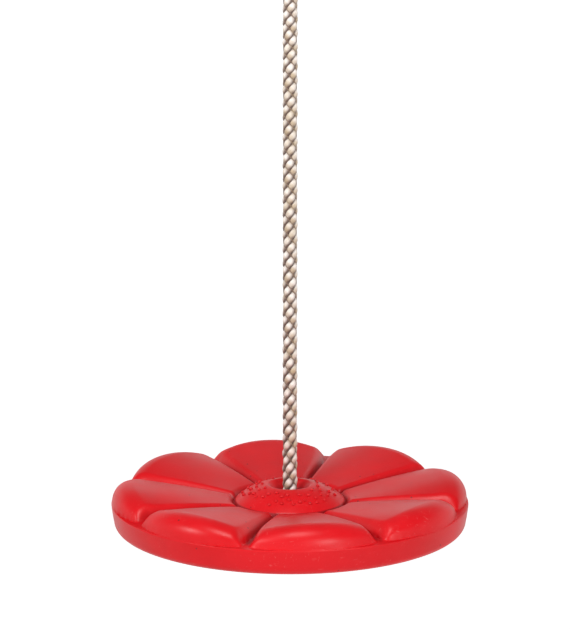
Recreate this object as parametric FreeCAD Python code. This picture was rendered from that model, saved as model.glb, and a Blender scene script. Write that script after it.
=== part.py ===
import FreeCAD, Part

import math
import os

# Disc swing: a hollow flower-shaped plastic seat that hangs on one braided rope.
# The rope is knotted under a washer below the seat. At the top it runs through a
# length adjuster and round a thimble on a steel ring, and the ring hangs in a snap
# hook. Units are millimetres and +Z is up. The origin is where the snap hook bears
# on whatever carries the swing: the inside of its top bow. The rope loop lies in XZ.

V = FreeCAD.Vector
X_AXIS, Y_AXIS, Z_AXIS = V(1, 0, 0), V(0, 1, 0), V(0, 0, 1)

# ---- Driving dimensions ------------------------------------------------------

SEAT_DROP = 710.0  # hanging point down to the seat's underside
GAP = 0.3  # between pieces that move against each other
SAME = 0.01  # two lengths closer than this are the same
UPRIGHT = 0.99  # a direction with a larger Z part than this is vertical
ARC_SHARE = 0.45  # part of a straight run that an arc at its end may take

# Seat, heights above its underside
SEAT_RADIUS = 145.0
WALL = 3.0
PETALS = 8
GROOVE_WIDTH = 5.0  # between the walls of two petals
RIM_HEIGHT = 22.0  # top of the rim and floor of the grooves
CREST_HEIGHT = 39.0  # that the petals' slope would reach at the edge, before rounding
PETAL_INNER_RADIUS = 48.0
PETAL_INNER_HEIGHT = 27.0
PETAL_DISH = 2.0  # how far a petal's top sinks below a straight slope
PETAL_TOE = 2.5  # the petal's foot stays this far inside the rim
LOBE_RADIUS = 78.0  # plan radius of a petal's outer end
LOBE_CORNER = 14.0
HEEL_CORNER = 9.0
PETAL_ROUND = 8.0
RIM_DRAFT = 3.0  # the rim's foot is this much smaller in radius than its top
RIM_ROUND = 6.0
PAD_BOTTOM = 7.0  # a petal's pad is sunk this far down into the rim

DOME_RADIUS = 45.0
DOME_EDGE = 23.5  # height where the dome leaves its ring groove
DOME_HEIGHT = 34.5
LIP_RADIUS = 18.0
LIP_ROUND = 3.0
LIP_EDGE_ROUND = 2.5
THROAT_RADIUS = 9.5
THROAT_LENGTH = 4.0
RECESS_RADIUS = 33.0
RECESS_DEPTH = 20.0
FOOT_WIDTH = 26.0  # flat ring that the seat rests on
FOOT_LIFT = 1.5
TACK_RING_RADIUS = 88.0  # dents that tie the underside to the petals
TACK_RADIUS = 6.5
TACK_TIP_RADIUS = 3.0
VENT_RING_RADIUS = 58.0
VENT_RADIUS = 4.0
PLUG_PLAY = 0.05
PLUG_HEAD_RADIUS = 6.0
PLUG_HEAD = 1.0
PLUG_LENGTH = 6.0

# Rope, and what holds it at the seat
ROPE_RADIUS = 6.0
KNOT_RADIUS = 15.0
KNOT_SOCKET = 6.0  # depth that the rope runs into a knot
TAIL_LENGTH = 13.0  # rope end that shows past a knot
WHIP_LENGTH = 8.0
WHIP_WALL = 0.8
WASHER_RADIUS = 25.0
WASHER_THICK = 3.0
WASHER_HOLE_RADIUS = 8.5
WASHER_CHAMFER = 0.5

# Ring, thimble and length adjuster
RING_WIRE_RADIUS = 4.0
RING_RADIUS = 24.0
THIMBLE_RADIUS = 20.0  # rope centre line round the thimble
THIMBLE_WALL = 1.5
THIMBLE_PLAY = 0.5
THIMBLE_FROM, THIMBLE_TO = -5.0, 200.0  # degrees from +X, over the top
ADJUSTER_DROP = 80.0  # thimble centre down to the adjuster's top face
ADJUSTER_THICK = 14.0
ADJUSTER_WIDTH = 28.0
ADJUSTER_PITCH = 26.0  # between its two holes
ADJUSTER_PLAY = 1.0
ADJUSTER_ROUND = 3.0

# Snap hook
HOOK_WIRE_RADIUS = 4.0
HOOK_BOW_RADIUS = 13.0
HOOK_LEG = 50.0
NOSE_LENGTH = 5.0
GATE_RADIUS = 3.6
GATE_TOP_GAP = 0.5
HINGE_HEIGHT = 8.0  # rivet above the bottom bow's centre
TONGUE_THICK = 2.8
TONGUE_RADIUS = 3.2
TONGUE_PLAY = 0.2
RIVET_RADIUS = 1.4
RIVET_PLAY = 0.05
RIVET_HEAD_RADIUS = 2.3
RIVET_HEAD = 0.8
PLUNGER_LENGTH = 4.0
SPRING_BORE_RADIUS = 1.9
SPRING_RADIUS = 1.3
SPRING_WIRE_RADIUS = 0.3
SPRING_TURNS = 7
SPRING_LENGTH = 12.0

# ---- Heights that follow -------------------------------------------------------

HOOK_TOP_Z = HOOK_WIRE_RADIUS - HOOK_BOW_RADIUS  # centre of the top bow
HOOK_BOTTOM_Z = HOOK_TOP_Z - HOOK_LEG  # centre of the bottom bow
HINGE_Z = HOOK_BOTTOM_Z + HINGE_HEIGHT
RING_PIVOT_Z = HOOK_BOTTOM_Z - HOOK_BOW_RADIUS
RING_Z = RING_PIVOT_Z + HOOK_WIRE_RADIUS + RING_WIRE_RADIUS + GAP - RING_RADIUS
ROPE_PIVOT_Z = RING_Z - RING_RADIUS
THIMBLE_SECTION = ROPE_RADIUS + THIMBLE_PLAY + THIMBLE_WALL
THIMBLE_Z = ROPE_PIVOT_Z + RING_WIRE_RADIUS + GAP - (THIMBLE_RADIUS - THIMBLE_SECTION)
ADJUSTER_TOP_Z = THIMBLE_Z - ADJUSTER_DROP
ADJUSTER_BOTTOM_Z = ADJUSTER_TOP_Z - ADJUSTER_THICK
ADJUSTER_HOLE_RADIUS = ROPE_RADIUS + ADJUSTER_PLAY

SEAT_Z = -SEAT_DROP
WASHER_TOP_Z = SEAT_Z + RECESS_DEPTH - GAP
WASHER_BOTTOM_Z = WASHER_TOP_Z - WASHER_THICK


def knot_below(z, hole_radius):
    """Height of a knot's centre that bears on a hole's lower edge at height z."""
    return z - math.sqrt((KNOT_RADIUS + GAP) ** 2 - hole_radius**2)


KNOT_Z = knot_below(WASHER_BOTTOM_Z, WASHER_HOLE_RADIUS)
TAIL_KNOT_Z = knot_below(ADJUSTER_BOTTOM_Z, ADJUSTER_HOLE_RADIUS)

# The rope's route in XZ, heights measured from the thimble's centre: up from the
# seat, through the adjuster, round the thimble, and down to the tail knot.
ROUTE = [
    (0.0, -120.0),
    (0.4, -76.0),
    (-0.6, -50.0),
    (-13.5, -20.0),
    (-21.9, 0.8),
    (-14.1, 16.7),
    (2.9, 21.7),
    (18.0, 12.5),
    (22.6, -12.0),
    (25.8, -48.0),
    (26.1, -76.0),
]
TAIL_X = ROUTE[-1][0]


# ---- Helpers -------------------------------------------------------------------


def line(a, b):
    return Part.LineSegment(V(*a), V(*b)).toShape()


def arc(a, middle, b):
    return Part.Arc(V(*a), V(*middle), V(*b)).toShape()


def revolved(edges, axis=Z_AXIS, centre=V(0, 0, 0), angle=360.0):
    """The face inside edges, given in order, turned about an axis."""
    return Part.Face(Part.Wire(edges)).revolve(centre, axis, angle)


def lathe(points):
    """A polygon of (radius, height) points turned about Z."""
    corners = [V(r, 0, z) for r, z in points]
    return Part.Face(Part.makePolygon(corners + corners[:1])).revolve(V(0, 0, 0), Z_AXIS, 360)


def cylinder(radius, bottom, top, x=0.0):
    return Part.makeCylinder(radius, top - bottom, V(x, 0, bottom), Z_AXIS)


def bar_y(radius, half_length, x, z):
    return Part.makeCylinder(radius, 2 * half_length, V(x, -half_length, z), Y_AXIS)


def block(low, high):
    size = [b - a for a, b in zip(low, high)]
    return Part.makeBox(*size, V(*low))


def around(shape, count):
    """Copies of shape, evenly spaced about the Z axis."""
    copies = []
    for k in range(count):
        copy = shape.copy()
        copy.rotate(V(0, 0, 0), Z_AXIS, 360.0 * k / count)
        copies.append(copy)
    return copies


def ring_edges(shape, radius, height):
    """The round edges about Z of the given radius and height."""
    found = []
    for edge in shape.Edges:
        curve = edge.Curve
        if not isinstance(curve, Part.Circle):
            continue
        if abs(curve.Radius - radius) < SAME and abs(curve.Center.z - height) < SAME:
            found.append(edge)
    return found


def route_wire(points):
    """Straight runs joined by tangent arcs, each as large as its two runs allow."""
    edges = []
    radii = []
    start = points[0]
    for before, corner, after in zip(points, points[1:], points[2:]):
        into = corner - before
        out = after - corner
        half_turn = into.getAngle(out) / 2
        reach = ARC_SHARE * min(into.Length, out.Length)
        radius = reach / math.tan(half_turn)
        first = corner - V(into).normalize() * reach
        last = corner + V(out).normalize() * reach
        inward = (V(out).normalize() - V(into).normalize()).normalize()
        middle = corner + inward * (radius / math.cos(half_turn) - radius)
        edges.append(Part.LineSegment(start, first).toShape())
        edges.append(Part.Arc(first, middle, last).toShape())
        radii.append(round(radius, 1))
        start = last
    edges.append(Part.LineSegment(start, points[-1]).toShape())
    return Part.Wire(edges), radii


# ---- Seat ------------------------------------------------------------------------


def rim_form(inset):
    """The round disc that the petals stand on, drawn in by inset."""
    top_radius = SEAT_RADIUS - inset
    foot_radius = top_radius - RIM_DRAFT
    top = RIM_HEIGHT - inset
    disc = lathe([(0, inset), (foot_radius, inset), (top_radius, top), (0, top)])
    return disc.makeFillet(RIM_ROUND - inset, ring_edges(disc, foot_radius, inset))


def petal_outline(inset):
    """A petal's plan, pointing along +X: two straight flanks, a heel and a lobed end."""
    half_angle = math.pi / PETALS
    side = GROOVE_WIDTH / 2 + inset
    toe = SEAT_RADIUS - PETAL_TOE - inset
    lobe = LOBE_RADIUS - inset
    heel = PETAL_INNER_RADIUS + inset

    # The flank runs parallel to the groove's centre line at a distance of side.
    along = V(math.cos(half_angle), math.sin(half_angle), 0)
    across = V(math.sin(half_angle), -math.cos(half_angle), 0) * side
    inner = along * math.sqrt(heel**2 - side**2) + across
    centre = V(toe - lobe, 0, 0)
    offset = across - centre
    reach = -offset.dot(along) + math.sqrt(offset.dot(along) ** 2 - offset.dot(offset) + lobe**2)
    outer = across + along * reach

    def mirrored(p):
        return V(p.x, -p.y, 0)

    edges = [
        Part.LineSegment(inner, outer).toShape(),
        Part.Arc(outer, V(toe, 0, 0), mirrored(outer)).toShape(),
        Part.LineSegment(mirrored(outer), mirrored(inner)).toShape(),
        Part.Arc(mirrored(inner), V(heel, 0, 0), inner).toShape(),
    ]
    return Part.Face(Part.Wire(edges))


def crown(inset):
    """Everything below the petals' top surface, a dished cone, lowered by inset."""
    slope = (CREST_HEIGHT - PETAL_INNER_HEIGHT) / (SEAT_RADIUS - PETAL_INNER_RADIUS)
    near = PETAL_INNER_RADIUS / 2
    middle_radius = (SEAT_RADIUS + near) / 2
    near_height = PETAL_INNER_HEIGHT - slope * (PETAL_INNER_RADIUS - near) - inset
    middle_height = PETAL_INNER_HEIGHT + slope * (middle_radius - PETAL_INNER_RADIUS) - PETAL_DISH - inset
    far_top = (-SEAT_RADIUS, 0, CREST_HEIGHT - inset)
    near_top = (-near, 0, near_height)
    edges = [
        line((-near, 0, 0), (-SEAT_RADIUS, 0, 0)),
        line((-SEAT_RADIUS, 0, 0), far_top),
        arc(far_top, (-middle_radius, 0, middle_height), near_top),
        line(near_top, (-near, 0, 0)),
    ]
    return revolved(edges)


def petal_form(inset):
    """One rounded petal pad, drawn in by inset."""
    pad = petal_outline(inset).extrude(V(0, 0, CREST_HEIGHT))
    split = (PETAL_INNER_RADIUS + SEAT_RADIUS) / 2
    upright = [e for e in pad.Edges if abs(e.tangentAt(e.FirstParameter).z) > UPRIGHT]
    pad = pad.makeFillet(LOBE_CORNER - inset, [e for e in upright if e.CenterOfMass.x > split])
    upright = [e for e in pad.Edges if abs(e.tangentAt(e.FirstParameter).z) > UPRIGHT]
    heel = [e for e in upright if e.CenterOfMass.x < PETAL_INNER_RADIUS + inset]
    pad = pad.makeFillet(HEEL_CORNER - inset, heel)
    pad = pad.common(crown(inset))
    pad = pad.cut(block((0, -SEAT_RADIUS, 0), (2 * SEAT_RADIUS, SEAT_RADIUS, PAD_BOTTOM)))
    top_edges = [e for e in pad.Edges if e.BoundBox.ZMin > PETAL_INNER_HEIGHT - PETAL_ROUND]
    return pad.makeFillet(PETAL_ROUND - inset, top_edges)


def dome_form(inset):
    """The middle dome, with the rounded lip of the rope hole, drawn in by inset."""
    edge = DOME_RADIUS - inset
    top = DOME_HEIGHT - inset
    lip = LIP_RADIUS + inset / 2
    middle = ((edge + lip) / 2, 0, (DOME_EDGE + DOME_HEIGHT) / 2 + LIP_ROUND / 2 - inset)
    edges = [
        line((0, 0, inset), (edge, 0, inset)),
        line((edge, 0, inset), (edge, 0, DOME_EDGE - inset)),
        arc((edge, 0, DOME_EDGE - inset), middle, (lip, 0, top)),
        line((lip, 0, top), (0, 0, top)),
        line((0, 0, top), (0, 0, inset)),
    ]
    return revolved(edges)


def throat_form(wall):
    """The funnel from the lip down to the recess, thickened by wall."""
    straight = RECESS_DEPTH + THROAT_LENGTH
    lip = LIP_RADIUS - LIP_ROUND + wall
    narrow = THROAT_RADIUS + wall
    top = DOME_HEIGHT + LIP_ROUND
    funnel = DOME_HEIGHT - LIP_ROUND
    return lathe([(0, 0), (narrow, 0), (narrow, straight), (lip, funnel), (lip, top), (0, top)])


def tack_cones(wall):
    """Conical dents under the petals, thickened by wall."""
    height = PETAL_INNER_HEIGHT - WALL + wall
    foot = V(TACK_RING_RADIUS, 0, 0)
    cone = Part.makeCone(TACK_RADIUS + wall, TACK_TIP_RADIUS + wall, height, foot, Z_AXIS)
    return around(cone, PETALS)


def seat_form(inset):
    petals = around(petal_form(inset), PETALS)
    return rim_form(inset).fuse(petals + [dome_form(inset)])


def seat_shell():
    foot = SEAT_RADIUS - RIM_DRAFT - RIM_ROUND - FOOT_WIDTH
    cavity = seat_form(WALL)
    lifted = cylinder(foot + WALL, 0, FOOT_LIFT + WALL)
    cup = cylinder(RECESS_RADIUS + WALL, 0, RECESS_DEPTH + WALL)
    cavity = cavity.cut([lifted, cup, throat_form(WALL)] + tack_cones(WALL))
    vent = cylinder(VENT_RADIUS, 0, FOOT_LIFT + 2 * WALL, VENT_RING_RADIUS)
    cuts = [cavity, cylinder(foot, 0, FOOT_LIFT), cylinder(RECESS_RADIUS, 0, RECESS_DEPTH)]
    cuts += [throat_form(0), vent] + tack_cones(0)
    shell = seat_form(0).cut(cuts)
    rounds = ring_edges(shell, LIP_RADIUS - LIP_ROUND, DOME_HEIGHT)
    shell = shell.makeFillet(LIP_EDGE_ROUND, rounds)
    shell.translate(V(0, 0, SEAT_Z))
    return shell


def vent_plug():
    """A push-in plug that closes the vent under the seat."""
    face = FOOT_LIFT - PLUG_HEAD
    head = cylinder(PLUG_HEAD_RADIUS, face, FOOT_LIFT, VENT_RING_RADIUS)
    stem = cylinder(VENT_RADIUS - PLUG_PLAY, FOOT_LIFT, FOOT_LIFT + PLUG_LENGTH, VENT_RING_RADIUS)
    plug = head.fuse(stem)
    plug.translate(V(0, 0, SEAT_Z))
    return plug


def seat_washer():
    disc = cylinder(WASHER_RADIUS, WASHER_BOTTOM_Z, WASHER_TOP_Z)
    washer = disc.cut(cylinder(WASHER_HOLE_RADIUS, WASHER_BOTTOM_Z, WASHER_TOP_Z))
    return washer.makeChamfer(WASHER_CHAMFER, ring_edges(washer, WASHER_RADIUS, WASHER_TOP_Z))


# ---- Rope ------------------------------------------------------------------------


def rope():
    """The whole rope between its two knots, as one tube."""
    start = V(0, 0, KNOT_Z + KNOT_RADIUS - KNOT_SOCKET)
    end = V(TAIL_X, 0, TAIL_KNOT_Z + KNOT_RADIUS - KNOT_SOCKET)
    points = [start] + [V(x, 0, THIMBLE_Z + z) for x, z in ROUTE] + [end]
    wire, radii = route_wire(points)
    section = Part.Wire(Part.makeCircle(ROPE_RADIUS, start, Z_AXIS))
    tube = wire.makePipeShell([section], True, False)
    volume_ratio = tube.Volume / (math.pi * ROPE_RADIUS**2 * wire.Length)
    print("rope length", round(wire.Length, 1), "volume ratio", round(volume_ratio, 4))
    print("rope arc radii", radii)
    return tube


def knot(x, z):
    """A knot's outer shape, with a socket where the rope enters and one for its tail."""
    ball = Part.makeSphere(KNOT_RADIUS, V(x, 0, z))
    top = cylinder(ROPE_RADIUS, z + KNOT_RADIUS - KNOT_SOCKET, z + KNOT_RADIUS, x)
    tail = cylinder(ROPE_RADIUS, z - KNOT_RADIUS, z - KNOT_RADIUS + KNOT_SOCKET, x)
    return ball.cut([top, tail])


def knot_tail(x, z):
    """The rope end below a knot."""
    return cylinder(ROPE_RADIUS, z - KNOT_RADIUS - TAIL_LENGTH, z - KNOT_RADIUS + KNOT_SOCKET, x)


def whipping(x, z):
    """The tight sleeve round a rope end."""
    low = z - KNOT_RADIUS - TAIL_LENGTH
    outer = cylinder(ROPE_RADIUS + WHIP_WALL, low, low + WHIP_LENGTH, x)
    return outer.cut(cylinder(ROPE_RADIUS, low, low + WHIP_LENGTH, x))


# ---- Ring, thimble and adjuster --------------------------------------------------


def steel_ring():
    return Part.makeTorus(RING_RADIUS, RING_WIRE_RADIUS, V(0, 0, RING_Z), X_AXIS)


def rope_thimble():
    """A steel channel round the inside of the rope loop, open towards the rope."""
    centre = V(0, 0, THIMBLE_Z)
    hollow = THIMBLE_SECTION - THIMBLE_WALL
    r, z = THIMBLE_RADIUS, THIMBLE_Z
    edges = [
        arc((r, -THIMBLE_SECTION, z), (r - THIMBLE_SECTION, 0, z), (r, THIMBLE_SECTION, z)),
        line((r, THIMBLE_SECTION, z), (r, hollow, z)),
        arc((r, hollow, z), (r - hollow, 0, z), (r, -hollow, z)),
        line((r, -hollow, z), (r, -THIMBLE_SECTION, z)),
    ]
    channel = revolved(edges, -Y_AXIS, centre, THIMBLE_TO - THIMBLE_FROM)
    channel.rotate(centre, -Y_AXIS, THIMBLE_FROM)
    return channel


def length_adjuster():
    """A rounded block with a hole for each leg of the rope."""
    low, high = ADJUSTER_BOTTOM_Z, ADJUSTER_TOP_Z
    half = ADJUSTER_WIDTH / 2
    body = block((0, -half, low), (ADJUSTER_PITCH, half, high))
    ends = [cylinder(half, low, high, x) for x in (0, ADJUSTER_PITCH)]
    body = body.fuse(ends).removeSplitter()
    faces = [f for f in body.Faces if abs(f.normalAt(0, 0).z) > UPRIGHT]
    body = body.makeFillet(ADJUSTER_ROUND, [e for f in faces for e in f.Edges])
    holes = [cylinder(ADJUSTER_HOLE_RADIUS, low, high, x) for x in (0, ADJUSTER_PITCH)]
    return body.cut(holes)


# ---- Snap hook -------------------------------------------------------------------


def hook_body():
    """A bent steel bar: spine, two bows, a nose above the gate and a tongue below it."""
    bow, wire = HOOK_BOW_RADIUS, HOOK_WIRE_RADIUS
    post = HINGE_HEIGHT - GATE_RADIUS - GAP
    edges = [
        line((bow, 0, HOOK_TOP_Z - NOSE_LENGTH), (bow, 0, HOOK_TOP_Z)),
        arc((bow, 0, HOOK_TOP_Z), (0, 0, HOOK_TOP_Z + bow), (-bow, 0, HOOK_TOP_Z)),
        line((-bow, 0, HOOK_TOP_Z), (-bow, 0, HOOK_BOTTOM_Z)),
        arc((-bow, 0, HOOK_BOTTOM_Z), (0, 0, HOOK_BOTTOM_Z - bow), (bow, 0, HOOK_BOTTOM_Z)),
        line((bow, 0, HOOK_BOTTOM_Z), (bow, 0, HOOK_BOTTOM_Z + post)),
    ]
    section = Part.Wire(Part.makeCircle(wire, V(bow, 0, HOOK_TOP_Z - NOSE_LENGTH), Z_AXIS))
    bar = Part.Wire(edges).makePipeShell([section], True, False)
    half = TONGUE_THICK / 2
    stem = block((bow - TONGUE_RADIUS, -half, HOOK_BOTTOM_Z), (bow + TONGUE_RADIUS, half, HINGE_Z))
    body = bar.fuse([stem, bar_y(TONGUE_RADIUS, half, bow, HINGE_Z)])
    return body.cut(bar_y(RIVET_RADIUS, half, bow, HINGE_Z))


def gate():
    """A round bar with a fork over the tongue and a bore for its spring."""
    bow = HOOK_BOW_RADIUS
    top = HOOK_TOP_Z - NOSE_LENGTH - GATE_TOP_GAP
    bar = cylinder(GATE_RADIUS, HINGE_Z, top, bow)
    foot = bar_y(GATE_RADIUS, GATE_RADIUS, bow, HINGE_Z)
    bar = bar.fuse(foot.common(cylinder(GATE_RADIUS, HINGE_Z - GATE_RADIUS, HINGE_Z, bow)))
    slot = TONGUE_THICK / 2 + TONGUE_PLAY
    slot_top = HINGE_Z + TONGUE_RADIUS + TONGUE_PLAY
    fork = block((bow - GATE_RADIUS, -slot, HINGE_Z - GATE_RADIUS), (bow + GATE_RADIUS, slot, slot_top))
    spring_top = slot_top + PLUNGER_LENGTH + SPRING_LENGTH
    bore = cylinder(SPRING_BORE_RADIUS, slot_top, spring_top, bow)
    pin_hole = bar_y(RIVET_RADIUS + RIVET_PLAY, GATE_RADIUS, bow, HINGE_Z)
    return bar.cut([fork, bore, pin_hole])


def gate_rivet():
    bow = HOOK_BOW_RADIUS
    pin = bar_y(RIVET_RADIUS, GATE_RADIUS + GAP, bow, HINGE_Z)
    heads = bar_y(RIVET_HEAD_RADIUS, GATE_RADIUS + GAP + RIVET_HEAD, bow, HINGE_Z)
    return pin.fuse(heads.cut(bar_y(RIVET_HEAD_RADIUS, GATE_RADIUS + GAP, bow, HINGE_Z)))


def gate_plunger():
    """A pin in the gate that the spring presses against the tongue."""
    bottom = HINGE_Z + TONGUE_RADIUS + TONGUE_PLAY
    return cylinder(SPRING_BORE_RADIUS - PLUG_PLAY, bottom, bottom + PLUNGER_LENGTH, HOOK_BOW_RADIUS)


def gate_spring():
    bottom = HINGE_Z + TONGUE_RADIUS + TONGUE_PLAY + PLUNGER_LENGTH + SPRING_WIRE_RADIUS
    length = SPRING_LENGTH - 2 * SPRING_WIRE_RADIUS
    helix = Part.makeHelix(length / SPRING_TURNS, length, SPRING_RADIUS)
    section = Part.Wire(Part.makeCircle(SPRING_WIRE_RADIUS, V(SPRING_RADIUS, 0, 0), Y_AXIS))
    spring = Part.Wire(helix).makePipeShell([section], True, True)
    spring.translate(V(HOOK_BOW_RADIUS, 0, bottom))
    return spring


# ---- Every piece, one file each ---------------------------------------------------

PIECES = {
    "hook_body": hook_body,
    "gate": gate,
    "gate_rivet": gate_rivet,
    "gate_plunger": gate_plunger,
    "gate_spring": gate_spring,
    "steel_ring": steel_ring,
    "rope_thimble": rope_thimble,
    "rope": rope,
    "tail_knot": lambda: knot(TAIL_X, TAIL_KNOT_Z),
    "tail_end": lambda: knot_tail(TAIL_X, TAIL_KNOT_Z),
    "tail_whipping": lambda: whipping(TAIL_X, TAIL_KNOT_Z),
    "length_adjuster": length_adjuster,
    "seat_washer": seat_washer,
    "stopper_knot": lambda: knot(0, KNOT_Z),
    "stopper_end": lambda: knot_tail(0, KNOT_Z),
    "stopper_whipping": lambda: whipping(0, KNOT_Z),
    "seat_shell": seat_shell,
    "vent_plug": vent_plug,
}

os.makedirs("parts", exist_ok=True)
for name, make in PIECES.items():
    shape = make()
    shape.exportStep(f"parts/{name}.step")
    box = shape.BoundBox
    spans = [box.XMin, box.XMax, box.YMin, box.YMax, box.ZMin, box.ZMax]
    size = " ".join(f"{v:.1f}" for v in spans)
    print(f"{name:18s} valid {shape.isValid()} cm3 {shape.Volume / 1000:8.2f} box {size}")
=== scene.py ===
# %% [markdown]
# # A disc swing on a braided rope
# A hollow, blow-moulded plastic seat in the shape of a flower hangs on one thick braided
# rope. The rope ends in a knot under the seat. At its top it runs round a steel thimble
# on a ring and comes back down to a second knot under a length adjuster, and the ring
# hangs in a snap hook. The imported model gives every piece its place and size, so this
# notebook only has to give the pieces their real form and finish.

import math
import random

import bmesh
import bpy
from mathutils import Matrix, Vector


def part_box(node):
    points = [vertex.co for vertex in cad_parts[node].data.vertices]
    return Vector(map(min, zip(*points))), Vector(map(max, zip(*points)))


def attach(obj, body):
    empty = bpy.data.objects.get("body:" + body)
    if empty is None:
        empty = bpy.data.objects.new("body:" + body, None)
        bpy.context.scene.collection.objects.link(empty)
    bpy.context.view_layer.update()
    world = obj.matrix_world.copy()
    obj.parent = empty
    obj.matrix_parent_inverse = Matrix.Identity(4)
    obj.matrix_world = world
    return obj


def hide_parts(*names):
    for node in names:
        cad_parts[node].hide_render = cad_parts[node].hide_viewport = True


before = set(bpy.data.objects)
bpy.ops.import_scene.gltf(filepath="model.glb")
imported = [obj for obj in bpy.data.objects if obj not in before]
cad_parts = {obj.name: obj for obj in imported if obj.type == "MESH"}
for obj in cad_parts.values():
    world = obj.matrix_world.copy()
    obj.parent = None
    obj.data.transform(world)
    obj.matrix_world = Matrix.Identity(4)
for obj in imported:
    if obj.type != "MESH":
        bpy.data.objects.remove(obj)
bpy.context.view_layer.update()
MM = 0.001

# %% [markdown]
# ## The camera
# A long lens from a little above shows the seat's top as a flat oval and keeps the rope
# straight. The aim is a point on the rope, so the seat sits low in the picture and the
# rope runs out of it at the top. A camera could be turned by three angles, but turning
# it to look along the line from its aim is simpler and can't roll.

# %% Camera
AZIMUTH = math.radians(-8.0)
ELEVATION = math.radians(11.72)
DISTANCE = 2.170
SEAT_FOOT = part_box("seat_shell")[0].z
to_right = Vector((math.cos(AZIMUTH), math.sin(AZIMUTH), 0))
to_back = Vector((
    math.sin(AZIMUTH) * math.cos(ELEVATION),
    -math.cos(AZIMUTH) * math.cos(ELEVATION),
    math.sin(ELEVATION),
))
aim = to_right * -0.004 + Vector((0, 0, SEAT_FOOT + 0.1743))

camera = bpy.data.objects.new("camera", bpy.data.cameras.new("camera"))
camera.data.sensor_width = 36.0
camera.data.lens = 154.6
camera.data.clip_end = 60.0
camera.location = aim + to_back * DISTANCE
camera.rotation_euler = to_back.to_track_quat("Z", "Y").to_euler()
bpy.context.scene.collection.objects.link(camera)
bpy.context.scene.camera = camera
print("camera at", tuple(round(c, 3) for c in camera.location))

# %% [markdown]
# ## The rope's line
# A rope under load is straight, and bends only where something turns it. Its line is a
# NURBS spline, because that curve rounds its own corners: the points are only places
# that pull the line towards them. The rope runs up from the washer, through the
# adjuster, over the thimble and down to its second knot, all in the plane y = 0.

# %% Line of the rope
ROPE_POINTS = [
    (0.0000, -0.6970), (0.0000, -0.2394), (0.0004, -0.1954), (-0.0006, -0.1694),
    (-0.0135, -0.1394), (-0.0219, -0.1186), (-0.0141, -0.1027), (0.0029, -0.0977),
    (0.0180, -0.1069), (0.0226, -0.1314), (0.0258, -0.1674), (0.0261, -0.1954),
    (0.0261, -0.2180),
]


def spline_line(name, places, samples=48):
    """The points along a NURBS spline that has places as its control points."""
    curve = bpy.data.curves.new(name, "CURVE")
    curve.dimensions = "3D"
    spline = curve.splines.new("NURBS")
    spline.points.add(len(places) - 1)
    for point, place in zip(spline.points, places):
        point.co = (*place, 1.0)
    spline.order_u = 3
    spline.use_endpoint_u = True
    spline.resolution_u = samples
    holder = bpy.data.objects.new(name, curve)
    mesh = bpy.data.meshes.new_from_object(holder)
    line = [vertex.co.copy() for vertex in mesh.vertices]
    bpy.data.objects.remove(holder)
    return line


def line_length(line):
    return sum((b - a).length for a, b in zip(line, line[1:]))


rope_line = spline_line("rope_line", [(x, 0.0, z) for x, z in ROPE_POINTS])
print("rope line", len(rope_line), "points", round(line_length(rope_line), 4), "m")

# %% [markdown]
# ## Walking along a line
# Strands wind round the rope's line, so each needs the line's place and two directions
# across it at any distance along. Each pair of directions is carried on from the last
# with the smallest turn that keeps it square to the line, which adds no twist of its
# own. Taking the directions from the curve's bending instead would flip them where the
# line is straight.

# %% Places and cross directions along a line
class Walk:
    """Where a line is, and which way is across it, at a distance from its start."""

    def __init__(self, line):
        self.line = line
        self.along = [0.0]
        for a, b in zip(line, line[1:]):
            self.along.append(self.along[-1] + (b - a).length)
        self.length = self.along[-1]
        self.frames = []
        across = Vector((1, 0, 0))
        for k in range(len(line)):
            forward = (line[min(k + 1, len(line) - 1)] - line[max(k - 1, 0)]).normalized()
            across = (across - forward * across.dot(forward)).normalized()
            self.frames.append((forward, across, forward.cross(across)))
        self.last = 0

    def at(self, distance):
        distance = min(max(distance, 0.0), self.length)
        k = self.last
        while k > 0 and self.along[k] > distance:
            k -= 1
        while k < len(self.line) - 2 and self.along[k + 1] < distance:
            k += 1
        self.last = k
        part = (distance - self.along[k]) / (self.along[k + 1] - self.along[k])
        place = self.line[k].lerp(self.line[k + 1], part)
        mixed = [a.lerp(b, part).normalized() for a, b in zip(self.frames[k], self.frames[k + 1])]
        return place, mixed[0], mixed[1], mixed[2]


rope_walk = Walk(rope_line)
print("rope walk", round(rope_walk.length, 4), "m")

# %% [markdown]
# ## The braid
# On the outside of this rope four fat strands all climb to the right, and three thin ones
# cross them the other way and pinch each fat strand into a row of long beads. A flat
# noise on a tube never shows that, because the beads stand up from each other. So every
# strand is a real one here. It starts as a flat grid, which is rolled into a long
# flattened tube by a formula that winds it round the rope's line and swells it between
# the crossings. The strands wind a little more tightly towards the top.

# %% Braiding
TURNS_LOW, TURNS_HIGH = 22.0, 27.0  # turns of a strand in a metre, at the seat and higher up
TIGHTER_OVER = 0.37  # metres over which they change
FAT = {
    "hand": 1, "count": 4, "wide": 0.0059, "thick": 0.0037, "reach": 0.00408,
    "swell": 0.00030, "pinch": 0.13, "sides": 12,
}
THIN = {
    "hand": -1, "count": 3, "wide": 0.0014, "thick": 0.0010, "reach": 0.00500,
    "swell": 0.00018, "pinch": 0.0, "sides": 8,
}
RING_STEP = 0.0011  # between a strand's rings
FACING = math.radians(-112.0)  # turns the braid until its beads line up to the front
TANGENT_STEP = 0.0004  # each way, to find a strand's own direction
SHADE_LEAN = 0.55  # turns the painted shade on a strand's inner side a little to one side, in radians
rng = random.Random(7)


def turn_at(distance, size):
    """How far a strand has turned round the rope at a distance along it."""
    along = distance / size
    eased = min(along, TIGHTER_OVER)
    extra = along - eased + eased * eased / (2 * TIGHTER_OVER)
    return 2 * math.pi * (TURNS_LOW * along + (TURNS_HIGH - TURNS_LOW) * extra)


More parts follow.
